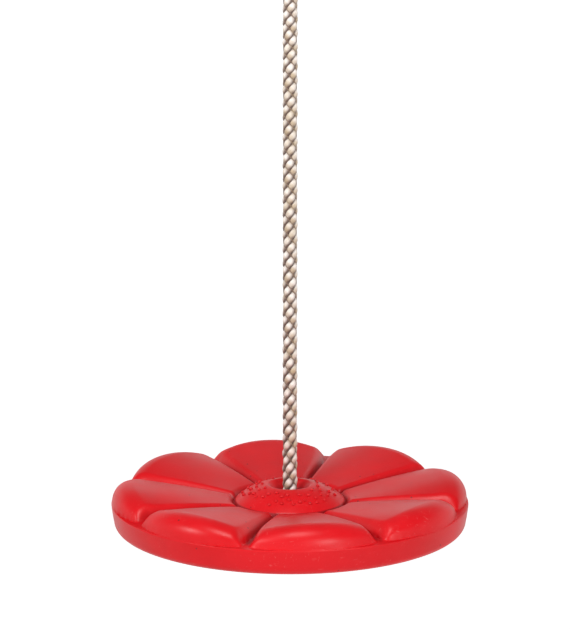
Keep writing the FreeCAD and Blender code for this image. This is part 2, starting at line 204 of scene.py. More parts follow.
def strand_place(walk, distance, strand, number, size):
    """A strand's middle, the direction out, how far it swells and how far up a bead it is."""
    turn = turn_at(distance, size)
    offset = number * 2 * math.pi / strand["count"]
    if strand["hand"] > 0:
        phase = 6 * turn + 3 * offset
        bead = -math.cos(phase)
    else:
        phase = 8 * turn - 4 * offset
        bead = math.cos(phase)
    angle = strand["hand"] * turn + offset + FACING
    place, _, across, other = walk.at(distance)
    outward = across * math.cos(angle) + other * math.sin(angle)
    middle = place + outward * size * (strand["reach"] + strand["swell"] * bead)
    return middle, outward, bead, 0.5 + 0.5 * math.sin(phase)


def braid_strand(bm, layers, walk, strand, number, size):
    """Adds one strand of a braid that follows walk from end to end."""
    rings = round(walk.length / (RING_STEP * size))
    sides = strand["sides"]
    grid = bmesh.ops.create_grid(bm, x_segments=rings, y_segments=sides, size=0.5, calc_uvs=True)
    made = grid["verts"]
    # A random tone for the whole strand.
    shade = rng.random()
    cache = {}
    for vert in made:
        ring = round((vert.co.x + 0.5) * rings)
        if ring not in cache:
            distance = walk.length * ring / rings
            middle, outward, bead, up = strand_place(walk, distance, strand, number, size)
            ahead = strand_place(walk, distance + TANGENT_STEP, strand, number, size)[0]
            behind = strand_place(walk, distance - TANGENT_STEP, strand, number, size)[0]
            side = outward.cross(ahead - behind).normalized()
            top = (ahead - behind).cross(side).normalized()
            cache[ring] = (middle, side, top, bead, up)
        middle, side, top, bead, up = cache[ring]
        angle = 2 * math.pi * (vert.co.y + 0.5)
        full = size * (1 - strand["pinch"] * (0.5 - 0.5 * bead))
        wide = math.cos(angle) * strand["wide"] / 2 * full
        high = math.sin(angle) * strand["thick"] / 2 * (size + full) / 2
        # Painted shade: a strand's inner side and its pinched parts are stored darker, turned by
        # SHADE_LEAN.
        vert[layers["underside_shade"]] = (0.5 + 0.5 * math.sin(angle + SHADE_LEAN)) * (0.86 + 0.14 * bead)
        vert[layers["hand"]] = 0.0 if strand["hand"] > 0 else 1.0
        # Painted shade: high at each bead's lower end, which the finish paints tan, mixed with the
        # strand's random tone.
        vert[layers["shade"]] = 0.6 * up + 0.4 * shade
        vert.co = middle + side * wide + top * high
    bmesh.ops.remove_doubles(bm, verts=made, dist=0.000001)


def close_ends(bm, sides):
    """Fills the open ends of tubes that have fewer than this many sides."""
    bmesh.ops.holes_fill(bm, edges=[edge for edge in bm.edges if edge.is_boundary], sides=sides)


def braid(walk, size=1.0):
    """A mesh of all seven strands, with what the rope's finish reads stored on it."""
    bm = bmesh.new()
    bm.loops.layers.uv.new("along")
    layers = {name: bm.verts.layers.float.new(name) for name in ("underside_shade", "hand", "shade")}
    for strand in (FAT, THIN):
        for number in range(strand["count"]):
            braid_strand(bm, layers, walk, strand, number, size)
    close_ends(bm, FAT["sides"] + 1)
    bmesh.ops.recalc_face_normals(bm, faces=bm.faces)
    return bm


def finished(name, bm, body, sharp=None):
    """Makes bm a smooth-shaded object at the origin that rides on a body."""
    mesh = bpy.data.meshes.new(name)
    bm.to_mesh(mesh)
    bm.free()
    mesh.shade_smooth()
    if sharp is not None:
        mesh.set_sharp_from_angle(angle=math.radians(sharp))
    piece = bpy.data.objects.new(name, mesh)
    bpy.context.scene.collection.objects.link(piece)
    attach(piece, body)
    triangles = sum(len(face.vertices) - 2 for face in mesh.polygons)
    print(f"{name}: {triangles} triangles")
    return piece


rope = finished("braided_rope", braid(rope_walk), "rope")
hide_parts("rope")

# %% [markdown]
# ## The two knots
# Under the washer and under the adjuster the rope ends in an overhand knot: it goes
# down through the middle, swings out, wraps once round itself and goes down through
# its own wrap again. Both knots are the same braid on another line, drawn a little
# smaller because a loaded knot squeezes the rope. The line's points are heights and
# widths in millimetres from the knot's middle.

# %% Knots
KNOT_POINTS = [
    (0, 0, 16), (0, 0, 12), (1.5, 1.5, 6), (3.2, 2.8, -1), (3, 3, -7), (-2.5, 5.5, -9.5),
    (-8.5, 3, -7), (-9.3, -3.8, -3.2), (-3.4, -9.2, 0), (4.2, -8.8, 1.5), (9.2, -2.5, 2.5),
    (8.4, 5.5, 4), (1.5, 9.4, 5.6), (-6, 7, 6.6), (-7.4, 0.5, 6.5), (-4.6, -3, 2),
    (-2.6, -2.8, -5), (-0.6, -0.8, -11), (0, 0, -17), (0, 0, -22), (0, 0, -27.4),
]
KNOT_SQUEEZE = 0.86  # size of the rope in a loaded knot


def tied_knot(name, node, end_node):
    """The braid tied round the middle of node, which takes the rope's short end along."""
    low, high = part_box(node)
    middle = (low + high) / 2
    places = [tuple(middle + Vector(point) * MM) for point in KNOT_POINTS]
    walk = Walk(spline_line(node + "_line", places, 24))
    knot = finished(name, braid(walk, KNOT_SQUEEZE), "rope")
    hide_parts(node, end_node)
    return knot


stopper = tied_knot("stopper_braid", "stopper_knot", "stopper_end")
tail = tied_knot("tail_braid", "tail_knot", "tail_end")

# %% [markdown]
# ## Whipped ends
# Each rope end is bound with thin dark twine so that it can't fray.
# The twine is one long helix: a small circle turned round the rope while it climbs,
# which is what spin does when it is given a step along the axis. A stack of rings
# would show no slope. A plain sleeve inside the twine closes the gaps between its turns.

# %% Whipping
TWINE_RADIUS = 0.0005
TWINE_TURNS = 9
TWINE_STEPS = 36  # around, for one turn


def whipping(name, node):
    low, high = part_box(node)
    middle = (low + high) / 2
    outer = (high.x - low.x) / 2
    climb = (high.z - low.z) - 2 * TWINE_RADIUS
    bm = bmesh.new()
    start = Matrix.Translation((middle.x + outer - TWINE_RADIUS, 0, low.z + TWINE_RADIUS))
    upright = start @ Matrix.Rotation(math.pi / 2, 4, "X")
    bmesh.ops.create_circle(bm, cap_ends=False, segments=8, radius=TWINE_RADIUS, matrix=upright)
    bmesh.ops.spin(
        bm, geom=bm.verts[:] + bm.edges[:], cent=(middle.x, 0, 0), axis=(0, 0, 1),
        dvec=(0, 0, climb / (TWINE_TURNS * TWINE_STEPS)), angle=2 * math.pi * TWINE_TURNS,
        steps=TWINE_TURNS * TWINE_STEPS,
    )
    close_ends(bm, 9)
    bmesh.ops.create_cone(
        bm, cap_ends=True, segments=40, radius1=outer - TWINE_RADIUS,
        radius2=outer - TWINE_RADIUS, depth=climb, matrix=Matrix.Translation(middle),
    )
    bmesh.ops.recalc_face_normals(bm, faces=bm.faces)
    bound = finished(name, bm, "rope", sharp=40)
    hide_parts(node)
    return bound


stopper_wrap = whipping("stopper_twine", "stopper_whipping")
tail_wrap = whipping("tail_twine", "tail_whipping")

print("rope declared", round(rope_walk.length, 3), "m")

# %% [markdown]
# ## The seat
# The seat is one hollow moulding. Seen from its side it is a disc with a rounded rim, so
# it starts as one outline, from the rope hole over the dome and the rim to the underside
# and back, spun all the way round. Spinning gives every height a clean ring of faces.
# The eight petals then come from lifting the ring's points between the grooves, with
# more of the points drawn together at each groove so that its crease stays sharp.

# %% Seat dimensions
PETALS = 8
SEAT_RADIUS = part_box("seat_shell")[1].x / MM
PETAL_START = 48.0  # radius where a petal's slope begins
HEEL_RADIUS = 46.2  # where a petal rises from the ring groove
HEEL_TOP = 22.9  # height of a petal's inner end
LEDGE = 20.6  # the narrow ledge outside the petals
GROOVE_FLOOR = 18.6  # where a groove meets the ring round the dome
CREST_TOP, CREST_RADIUS = 37.9, 127.0
LOBE = 84.0  # plan radius of a petal's outer end
LOBE_INSET = 0.12  # from a petal's outer end to the rim
CROWN = 9.0  # how far a petal's sides fall below its middle at the outer end
SHOULDER = 16.5  # width of the rounded fall outside the crest
GROOVE_HALF = 0.5  # half the width of a groove's floor
NOTCH = 2.2  # how much wider a groove is, to each side, where it reaches the rim
SIDE, SIDE_GROWTH = 5.4, 3.6  # width of a petal's rounded side, and what the crest adds to it
HEEL = 5.5  # length of a petal's rounded inner end
DOME_INNER, DOME_SPAN = 16.0, 29.0  # radius where the dome starts to fall, and how far it falls out
DOME_FOOT, DOME_RISE = 21.0, 13.5
LIP_RADIUS, LIP_WIDTH, LIP_DROP = 18.6, 3.6, 3.2  # the rounded lip of the rope hole
PITCH_STEPS = 52  # around, for one petal
DRAWN = 1.55  # how strongly the points round a petal are drawn towards its grooves
CREASE_WIDTH = 2.4  # of the dark line in a groove
SHADE_TOP, SHADE_SPAN = 22.6, 3.5  # height where painted shade starts, and how far down it deepens
SHADE_END_RADIUS, SHADE_END_SPAN = 136.0, 8.0  # radius past which the painted shade is gone, and how far in it fades
half_petal = math.pi / PETALS
print("seat radius", round(SEAT_RADIUS, 2), "mm")


def clip(value):
    return min(max(value, 0.0), 1.0)


def petal_height(radius, turn):
    """Height of the seat's upper skin between the ring groove and the rim."""
    outward = clip((radius - PETAL_START) / (CREST_RADIUS - PETAL_START))
    across = math.sin(abs(turn)) / math.sin(half_petal)
    crest = HEEL_TOP + (CREST_TOP - HEEL_TOP) * outward - CROWN * outward ** 1.5 * across ** 2.2
    from_groove = radius * math.sin(half_petal - abs(turn))
    from_wall = from_groove - GROOVE_HALF - NOTCH * outward ** 8
    side = 1 - (1 - clip(from_wall / (SIDE + SIDE_GROWTH * outward))) ** 2.2
    heel = 1 - (1 - clip((radius - HEEL_RADIUS) / HEEL)) ** 2.3
    lobe_middle = SEAT_RADIUS - LOBE_INSET - LOBE
    from_end = LOBE - math.hypot(radius * math.cos(turn) - lobe_middle, radius * math.sin(turn))
    shoulder = (1 - (1 - clip(from_end / SHOULDER)) ** 2.25) ** (1 / 2.25)
    floor = GROOVE_FLOOR + (LEDGE - GROOVE_FLOOR) * clip((radius - PETAL_START) / 60)
    return floor + (crest - floor) * shoulder * side * heel


def dome_height(radius):
    """Height of the dome round the rope hole."""
    out = clip((radius - DOME_INNER) / DOME_SPAN)
    lip = clip((LIP_RADIUS - radius) / LIP_WIDTH)
    return DOME_FOOT + DOME_RISE * (1 - out ** 1.85) - LIP_DROP * lip * lip


# %% Seat outline
def seat_outline():
    """Radius and height of the points round the seat's section, from the rope hole outwards.

    Points on the petals have no height yet."""
    rim = SEAT_RADIUS
    # the rope hole, the dome and the ring groove round it
    points = [(9.5, 20.4), (9.5, 23.6), (10.0, 25.0), (12.5, 28.4), (14.6, 31.0)]
    points += [(r, dome_height(r)) for r in (15.1, 15.7, 16.4, 17.2, 18.2)]
    points += [(18.2 + 24.8 * k / 20, dome_height(18.2 + 24.8 * k / 20)) for k in range(1, 21)]
    points += [(43.9, 22.0), (44.6, 21.1), (45.1, 20.2), (45.5, 19.3)]
    # the petals: closer points at the heel and towards the rim
    points += [(HEEL_RADIUS + 7.0 * (k / 9) ** 1.4, None) for k in range(10)]
    points += [(54.0 + 72.0 * k / 34, None) for k in range(35)]
    points += [(126.0 + (rim - 126.2) * (1 - (1 - k / 24) ** 1.7), None) for k in range(1, 25)]
    # the rim, which leans in a little towards its rounded foot
    points += [(rim - 0.12, LEDGE - 0.06), (rim - 0.03, LEDGE - 0.35), (rim, LEDGE - 0.95)]
    points += [(rim - 0.06, LEDGE - 1.6), (rim - 0.6, 14.4), (rim - 1.3, 9.6), (rim - 1.8, 7.4)]
    for angle in (0.25, 0.5, 0.75, 1.0, 1.25, 1.5708):
        points.append((rim - 1.9 - 6.9 * (1 - math.cos(angle)), 6.6 * (1 - math.sin(angle))))
    # the foot ring, the raised underside and the knot's recess
    points += [(126.0, 0.0), (111.0, 0.0), (110.2, 0.15), (109.4, 1.1), (108.6, 1.5)]
    points += [(r, 1.5) for r in (102.0, 74.0, 66.0, 50.0, 35.0)]
    points += [(33.9, 1.8), (33.2, 2.5), (33.0, 3.6), (33.0, 17.6), (32.4, 19.2), (30.8, 20.0)]
    points += [(20.0, 20.0), (9.9, 20.0)]
    return points


# %% Spin the seat and raise its petals
UNSET = 500.0  # stands for a height that the petals will give


def spin_round(bm, geom, steps, centre=(0, 0, 0)):
    """Spins points and edges all round an upright line through centre."""
    bmesh.ops.spin(
        bm, geom=geom, cent=centre, axis=(0, 0, 1), angle=2 * math.pi, steps=steps, use_merge=True,
    )


def spun(points, steps):
    """A closed outline of (radius, height) in millimetres, spun all round the Z axis."""
    bm = bmesh.new()
    known = [(radius, UNSET if height is None else height) for radius, height in points]
    verts = [bm.verts.new((radius * MM, 0, height * MM)) for radius, height in known]
    edges = [bm.edges.new(pair) for pair in zip(verts, verts[1:] + verts[:1])]
    spin_round(bm, verts + edges, steps)
    bmesh.ops.recalc_face_normals(bm, faces=bm.faces)
    return bm


def petal_turn(angle):
    """Angle from the middle of the nearest petal, and that middle."""
    middle = round(angle / (2 * half_petal)) * 2 * half_petal
    return angle - middle, middle


seat_mesh = spun(seat_outline(), PETALS * PITCH_STEPS)
# The crease attribute holds painted shade: it darkens the grooves, the low parts between the
# petals, the ring groove round the dome and the rope hole further down.
crease = seat_mesh.verts.layers.float.new("crease")
for vert in seat_mesh.verts:
    radius = math.hypot(vert.co.x, vert.co.y) / MM
    turn, middle = petal_turn(math.atan2(vert.co.y, vert.co.x))
    drawn = half_petal * (1 - (1 - abs(turn) / half_petal) ** DRAWN)
    turn = math.copysign(drawn, turn)
    vert.co.x = radius * MM * math.cos(middle + turn)
    vert.co.y = radius * MM * math.sin(middle + turn)
    if vert.co.z > 0.9 * UNSET * MM:
        vert.co.z = petal_height(radius, turn) * MM
        depth = clip((SHADE_TOP - vert.co.z / MM) / SHADE_SPAN)
        groove = math.exp(-(radius * math.sin(half_petal - abs(turn)) / CREASE_WIDTH) ** 2)
        vert[crease] = max(groove, depth * 0.6) * clip((SHADE_END_RADIUS - radius) / SHADE_END_SPAN)
    elif 44.5 < radius < 46.3 and vert.co.z > 18 * MM:
        vert[crease] = 1.0
    elif radius < 15:
        vert[crease] = clip((31 - vert.co.z / MM) / 6)
bmesh.ops.translate(seat_mesh, vec=(0, 0, SEAT_FOOT), verts=seat_mesh.verts)
highest = max(vert.co.z for vert in seat_mesh.verts) - SEAT_FOOT
print("seat", len(seat_mesh.verts), "points, highest", round(highest, 4))

# %% [markdown]
# ## Studs on the dome
# Small raised studs round the rope hole stop a foot from slipping. They are scattered
# without pattern, so their places are drawn at random and kept only if they are far
# enough from the others. Each is a barely flattened ball that leans with the dome. Faces
# pushed out of the dome's own mesh would need far more of them to be round.

# %% Studs
STUDS = 68
STUD_SPACING = 4.4
STUD_RADII = (1.3, 1.7)
STUD_HEIGHT = 0.95  # of its radius
STUD_RING, STUD_RING_WIDTH = 20.0, 18.5  # where they stand on the dome
studs = []
while len(studs) < STUDS:
    radius = STUD_RING + STUD_RING_WIDTH * math.sqrt(rng.random())
    angle = rng.uniform(0, 2 * math.pi)
    spot = Vector((radius * math.cos(angle), radius * math.sin(angle)))
    if all((spot - other).length > STUD_SPACING for other, _ in studs):
        studs.append((spot, rng.uniform(*STUD_RADII)))
stud_mesh = bmesh.new()
foot = stud_mesh.verts.layers.float.new("crease")
for spot, size in studs:
    radius = spot.length
    slope = dome_height(radius + 0.5) - dome_height(radius - 0.5)
    upright = Vector((-slope * spot.x / radius, -slope * spot.y / radius, 1.0)).normalized()
    on_dome = Vector((spot.x, spot.y, dome_height(radius))) * MM
    place = Matrix.Translation(on_dome + Vector((0, 0, SEAT_FOOT)))
    lean = upright.to_track_quat("Z", "Y").to_matrix().to_4x4()
    shape = Matrix.Diagonal((1, 1, STUD_HEIGHT, 1))
    ball = bmesh.ops.create_uvsphere(
        stud_mesh, u_segments=14, v_segments=8, radius=size * MM, matrix=place @ lean @ shape,
    )
    # Painted shade: the lower part of each stud is stored darker in the crease attribute, most at
    # its foot.
    for vert in ball["verts"]:
        above = (vert.co - place.translation).dot(upright) / (size * MM * STUD_HEIGHT)
        vert[foot] = clip(0.95 - 1.7 * above)
stud_data = bpy.data.meshes.new("studs")
stud_mesh.to_mesh(stud_data)
stud_mesh.free()
seat_mesh.from_mesh(stud_data)
print(len(studs), "studs")

seat = finished("flower_seat", seat_mesh, "seat", sharp=42)
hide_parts("seat_shell")

# %% [markdown]
# ## Dents under the seat
# Where the mould pinches the two skins together, the underside has a deep dent with a
# rounded mouth under each petal, and a small hole through which the seat was blown.
# A dent doesn't run round the seat, so it can't be part of the spin. One cutter holds
# them all, and a Boolean modifier takes it away from the seat, applied at once so that
# nothing live is left. The studs are closed shells that stand in the seat's skin, and the
# exact solver would drop some of them, so the seat is cut with the fast one. No edge of a
# cutter lies in a face that it cuts, since that cut would come out differently each run.

# %% Cut the dents
CUTTER_STEPS = 36


def lathe_cutter(bm, x, y, base, points):
    """Adds a solid of revolution about an upright line through x, y.

    The base height is in metres, the rest in millimetres."""
    verts = [bm.verts.new(((x + r) * MM, y * MM, base + h * MM)) for r, h in points]
    edges = [bm.edges.new(pair) for pair in zip(verts, verts[1:])]
    spin_round(bm, verts + edges, CUTTER_STEPS, (x * MM, y * MM, 0))


def cut_away(piece, cutter_mesh, solver):
    """Takes the cutter away from piece for good."""
    bmesh.ops.remove_doubles(cutter_mesh, verts=cutter_mesh.verts, dist=0.00001)
    bmesh.ops.recalc_face_normals(cutter_mesh, faces=cutter_mesh.faces)
    data = bpy.data.meshes.new("cutter")
    cutter_mesh.to_mesh(data)
    cutter_mesh.free()
    cutter = bpy.data.objects.new("cutter", data)
    bpy.context.scene.collection.objects.link(cutter)
    boolean = piece.modifiers.new("cut", "BOOLEAN")
    boolean.operation = "DIFFERENCE"
    boolean.solver = solver
    boolean.object = cutter
    graph = bpy.context.evaluated_depsgraph_get()
    whole = bpy.data.meshes.new_from_object(piece.evaluated_get(graph))
    piece.modifiers.clear()
    piece.data = whole
    bpy.data.objects.remove(cutter)
    print(piece.name, "after cutting:", len(whole.polygons), "faces")


DENT = [
    (0, 25.0), (1.8, 24.7), (2.9, 23.6), (3.3, 22.0), (5.4, 5.6), (6.0, 3.4), (7.2, 2.0),
    (8.8, 1.3), (8.8, -2.0), (0, -2.0),
]
DENT_RING = 88
VENT = [(0, 9.0), (4.05, 9.0), (4.05, -2.0), (0, -2.0)]
VENT_RING = 58
dents = bmesh.new()
for k in range(PETALS):
    angle = 2 * half_petal * k
    lathe_cutter(dents, DENT_RING * math.cos(angle), DENT_RING * math.sin(angle), SEAT_FOOT, DENT)
lathe_cutter(dents, VENT_RING, 0, SEAT_FOOT, VENT)
cut_away(seat, dents, "FAST")

# %% [markdown]
# ## Length adjuster
# The adjuster is a thick plastic block with round ends and two flared holes, and a grip
# groove runs round its side. Bevels give every edge a radius, cuts at a few heights make
# room for the groove, and the same kind of cutter as before opens the holes, because a
# flared hole is a solid of revolution taken away.

# %% Adjuster
GRIP_DEPTH = 0.0010
GRIP_HALF = 0.0015  # half the height of the groove's floor
GRIP_MOUTH_HALF = 0.0024  # the same at the block's surface
EDGE_RADIUS = 0.0026
END_ROUND = 0.495  # of the width: just under a half, so that the two bevels don't meet
HOLE = [
    (0, 8), (9.7, 8), (8.8, 6.5), (7.7, 5.2), (7.0, 3.3), (7.0, -3.3), (7.7, -5.2), (8.8, -6.5),
    (9.7, -8), (0, -8),
]


def round_edges(bm, edges, radius, segments):
    bmesh.ops.bevel(
        bm, geom=edges, offset=radius, segments=segments, profile=0.5, affect="EDGES", material=-1,
    )


low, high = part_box("length_adjuster")
middle, extent = (low + high) / 2, high - low
half_pitch = (extent.x - extent.y) / 2
block_mesh = bmesh.new()
block_shape = Matrix.Translation(middle) @ Matrix.Diagonal((*extent, 1))
bmesh.ops.create_cube(block_mesh, size=1.0, matrix=block_shape)
upright = [e for e in block_mesh.edges if abs(e.verts[0].co.z - e.verts[1].co.z) > extent.z / 2]
round_edges(block_mesh, upright, extent.y * END_ROUND, 14)
for offset in (-GRIP_MOUTH_HALF, -GRIP_HALF, GRIP_HALF, GRIP_MOUTH_HALF):
    cut_at = (0, 0, middle.z + offset)
    whole = block_mesh.verts[:] + block_mesh.edges[:] + block_mesh.faces[:]
    bmesh.ops.bisect_plane(block_mesh, geom=whole, plane_co=cut_at, plane_no=(0, 0, 1))
for vert in block_mesh.verts:
    if abs(vert.co.z - middle.z) < GRIP_HALF + 0.0001:
        nearest_x = min(max(vert.co.x, middle.x - half_pitch), middle.x + half_pitch)
        inner = Vector((nearest_x, 0, vert.co.z))
        vert.co -= (vert.co - inner).normalized() * GRIP_DEPTH
rims = [
    e for e in block_mesh.edges
    if all(abs(abs(v.co.z - middle.z) - extent.z / 2) < 0.00001 for v in e.verts)
]
round_edges(block_mesh, rims, EDGE_RADIUS, 4)
adjuster = finished("adjuster_block", block_mesh, "adjuster", sharp=35)
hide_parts("length_adjuster")
holes = bmesh.new()
for side in (-1, 1):
    lathe_cutter(holes, (middle.x + side * half_pitch) / MM, 0, middle.z, HOLE)
cut_away(adjuster, holes, "EXACT")

# %% [markdown]
# ## Finishes
# Every finish is a Principled shader whose colour, roughness and bump change over the
# surface, because no real surface is even. The small effects that several finishes
# share, a moulded grain, fine scratches and specks of dirt, are node groups. They read
# Object coordinates, which are metres here, so a scale of 500 gives a grain of about
# two millimetres on any piece.

# %% Node helpers
def add(tree, kind, settings=None, **sockets):
    """Adds a node. Each socket is given a value or linked to another node's output."""
    made = tree.nodes.new(kind)
    for name, value in (settings or {}).items():
        setattr(made, name, value)
    for name, value in sockets.items():
        socket = made.inputs[name.replace("_", " ")]
        if isinstance(value, bpy.types.NodeSocket):
            tree.links.new(value, socket)
        else:
            socket.default_value = value
    return made


def mixed(tree, factor, first, second, blend="MIX"):
    """Colour between first and second."""
    made = tree.nodes.new("ShaderNodeMix")
    made.data_type = "RGBA"
    made.blend_type = blend
    for index, value in ((0, factor), (6, first), (7, second)):
        if isinstance(value, bpy.types.NodeSocket):
            tree.links.new(value, made.inputs[index])
        else:
            made.inputs[index].default_value = value
    return made.outputs[2]


def sums(tree, operation, first, second, clamp=False):
    """One sum or comparison of two values."""
    made = tree.nodes.new("ShaderNodeMath")
    made.operation = operation
    made.use_clamp = clamp
    for index, value in enumerate((first, second)):
        if isinstance(value, bpy.types.NodeSocket):
            tree.links.new(value, made.inputs[index])
        else:
            made.inputs[index].default_value = value
    return made.outputs[0]


def spread(tree, value, low, high, to_low=0.0, to_high=1.0):
    """value's range low to high made to_low to to_high, and held there outside it."""
    limits = {"From_Min": low, "From_Max": high, "To_Min": to_low, "To_Max": to_high}
    return add(tree, "ShaderNodeMapRange", None, Value=value, **limits).outputs[0]


def noise(tree, vector, scale, **more):
    """Noise of about 0.5, with features of roughly 1 / scale."""
    return add(tree, "ShaderNodeTexNoise", None, Vector=vector, Scale=scale, **more).outputs[0]


def effect(name, numbers, outputs):
    """An empty node group with a Vector input and the numbers given, and its two ends."""
    group = bpy.data.node_groups.new(name, "ShaderNodeTree")
    group.interface.new_socket("Vector", in_out="INPUT", socket_type="NodeSocketVector")
    for label, value in numbers.items():
        made = group.interface.new_socket(label, in_out="INPUT", socket_type="NodeSocketFloat")
        made.default_value = value
    for label in outputs:
        group.interface.new_socket(label, in_out="OUTPUT", socket_type="NodeSocketFloat")
    given = group.nodes.new("NodeGroupInput").outputs
    return group, given, group.nodes.new("NodeGroupOutput").inputs


# %% Shared effects
grain, given, out = effect("moulded_grain", {"Scale": 900.0, "Waviness": 0.5}, ["Height"])
fine = noise(grain, given["Vector"], given["Scale"], Detail=2.0, Roughness=0.5)
broad = noise(grain, given["Vector"], 34.0, Detail=1.0)
wavy = sums(grain, "MULTIPLY", broad, given["Waviness"])
grain.links.new(sums(grain, "ADD", fine, wavy), out["Height"])

scratches, given, out = effect("fine_scratches", {"Scale": 70.0, "Amount": 0.5}, ["Mask"])
masks = []
for turned, stretch in (((0.3, 0.2, 0.6), (1, 14, 6)), ((0.2, 0.5, -0.9), (16, 1, 5))):
    laid = add(
        scratches, "ShaderNodeMapping", None,
        Vector=given["Vector"], Rotation=turned, Scale=stretch,
    )
    lines = noise(scratches, laid.outputs[0], given["Scale"], Detail=3.0)
    masks.append(spread(scratches, lines, 0.66, 0.74))
patches = noise(scratches, given["Vector"], 22.0, Detail=2.0)
worn = spread(scratches, patches, 0.45, 0.62)
both = sums(scratches, "MULTIPLY", sums(scratches, "MAXIMUM", masks[0], masks[1]), worn)
scratches.links.new(sums(scratches, "MULTIPLY", both, given["Amount"]), out["Mask"])

specks, given, out = effect("specks", {"Scale": 160.0, "Size": 0.1}, ["Mask"])
cells = add(specks, "ShaderNodeTexVoronoi", None, Vector=given["Vector"], Scale=given["Scale"])
dots = sums(specks, "LESS_THAN", cells.outputs["Distance"], given["Size"])
drawn = add(specks, "ShaderNodeSeparateColor", None, Color=cells.outputs["Color"]).outputs[0]
rare = sums(specks, "GREATER_THAN", drawn, 0.90)
specks.links.new(sums(specks, "MULTIPLY", dots, rare), out["Mask"])
print("effects:", [g.name for g in (grain, scratches, specks)])


def use(tree, group, vector, **numbers):
    """The output of a shared effect, used in a finish."""
    made = tree.nodes.new("ShaderNodeGroup")
    made.node_tree = group
    tree.links.new(vector, made.inputs["Vector"])
    for name, value in numbers.items():
        made.inputs[name].default_value = value
    return made.outputs[0]


def finish(name):
    """A new material, its tree, its shader and its Object coordinates."""
    material = bpy.data.materials.new(name)
    material.use_nodes = True
    tree = material.node_tree
    shader = tree.nodes["Principled BSDF"]
    place = add(tree, "ShaderNodeTexCoord").outputs["Object"]
    return material, tree, shader, place


def bumped(tree, shader, height, distance, strength):
    bump = add(tree, "ShaderNodeBump", None, Height=height, Distance=distance, Strength=strength)
    tree.links.new(bump.outputs[0], shader.inputs["Normal"])


# %% [markdown]
# ## Red seat plastic
# Blow-moulded polyethylene has a satin skin with a fine grain and slow waves from
# uneven cooling. Its red deepens a little in patches, and it shows fine pale scratches and a
# few dark specks. Painted shade darkens it in the creases, round the feet of the studs and
# down the rope hole, read from the crease attribute that was stored on the mesh with the
# petals and the studs.

# %% Seat plastic
def red_plastic(name, rich, light, rough):
    """The seat's satin plastic."""
    material, tree, shader, place = finish(name)
    patch = noise(tree, place, 16.0, Detail=4.0, Roughness=0.6)
    colour = mixed(tree, spread(tree, patch, 0.35, 0.65), rich, light)
    crease_shade = add(tree, "ShaderNodeAttribute", {"attribute_name": "crease"}).outputs["Fac"]
    # Painted shade from the crease attribute: creases, stud feet and rope hole turn dark red.
    colour = mixed(tree, sums(tree, "MULTIPLY", crease_shade, 0.62), colour, (0.16, 0.004, 0.008, 1))
    pale = use(tree, scratches, place, Scale=70.0, Amount=0.22)
    colour = mixed(tree, pale, colour, (0.86, 0.30, 0.28, 1))
    dots = use(tree, specks, place, Scale=170.0, Size=0.11)
    colour = mixed(tree, dots, colour, (0.10, 0.012, 0.012, 1))
    tree.links.new(colour, shader.inputs["Base Color"])
    shader.inputs["Specular IOR Level"].default_value = 0.32
    dull = spread(tree, patch, 0.3, 0.7, rough - 0.05, rough + 0.07)
    scuffed = sums(tree, "MULTIPLY", pale, 0.5)
    tree.links.new(sums(tree, "ADD", dull, scuffed), shader.inputs["Roughness"])
    bumped(tree, shader, use(tree, grain, place, Scale=1100.0, Waviness=2.5), 0.00035, 0.22)
    return material


seat_red = red_plastic("seat_red", (0.66, 0.002, 0.006, 1), (0.76, 0.004, 0.010, 1), 0.35)
seat.data.materials.clear()
seat.data.materials.append(seat_red)
plug_red = red_plastic("plug_red", (0.42, 0.004, 0.007, 1), (0.50, 0.008, 0.010, 1), 0.5)

# %% [markdown]
# ## Rope fibre
# Each strand is a bundle of fine filaments that run along it, so the finish reads the
# strand's own map: stretched noise along it gives the filaments, in colour and in bump.
# The strands' inner sides, where they dive under, are painted darker as shade, turned a
# little to one side, and darker still where a thin strand pinches them. The lower end of
# each bead is painted tan as shade, mixed with a random tone for each strand, and the thin
# strands are painted dark brown, partly their own tone and partly painted shade in the gaps
# between the beads. All of this reads values stored when the rope was braided.

# %% Rope fibre
fibre, tree, shader, place = finish("rope_fibre")
along = add(tree, "ShaderNodeUVMap", {"uv_map": "along"}).outputs[0]
stretched = add(tree, "ShaderNodeMapping", None, Vector=along, Scale=(90, 34, 1)).outputs[0]
filaments = noise(tree, stretched, 1.0, Detail=3.0, Roughness=0.6)
underside_shade = add(tree, "ShaderNodeAttribute", {"attribute_name": "underside_shade"}).outputs["Fac"]
hand = add(tree, "ShaderNodeAttribute", {"attribute_name": "hand"}).outputs["Fac"]
shade = add(tree, "ShaderNodeAttribute", {"attribute_name": "shade"}).outputs["Fac"]
# Painted shade at each bead's lower end turns it tan, mixed with each strand's random tone.
bead_shade_and_tone = spread(tree, shade, 0.30, 0.80, 0.0, 0.85)
tone = mixed(tree, bead_shade_and_tone, (0.92, 0.84, 0.78, 1), (0.47, 0.33, 0.19, 1))
# The thin strands turn dark brown, partly their own tone and partly painted shade in the gaps
# between beads.
tone = mixed(tree, hand, tone, (0.26, 0.17, 0.11, 1))
patch = noise(tree, place, 90.0, Detail=3.0)
tone = mixed(tree, spread(tree, patch, 0.48, 0.72, 0.0, 0.55), tone, (0.55, 0.42, 0.24, 1))
tone = mixed(tree, spread(tree, filaments, 0.52, 0.75, 0.0, 0.35), tone, (0.42, 0.30, 0.22, 1))
# Painted shade: the strands' inner sides and pinched parts turn dark brown.
tone = mixed(tree, spread(tree, underside_shade, 0.86, 0.48, 0.0, 0.92), tone, (0.13, 0.07, 0.05, 1))
tree.links.new(tone, shader.inputs["Base Color"])
shader.inputs["Roughness"].default_value = 0.62
shader.inputs["Sheen Weight"].default_value = 0.25
shader.inputs["Sheen Roughness"].default_value = 0.5
bumped(tree, shader, filaments, 0.0003, 0.6)
for piece in (rope, stopper, tail):
    piece.data.materials.append(fibre)

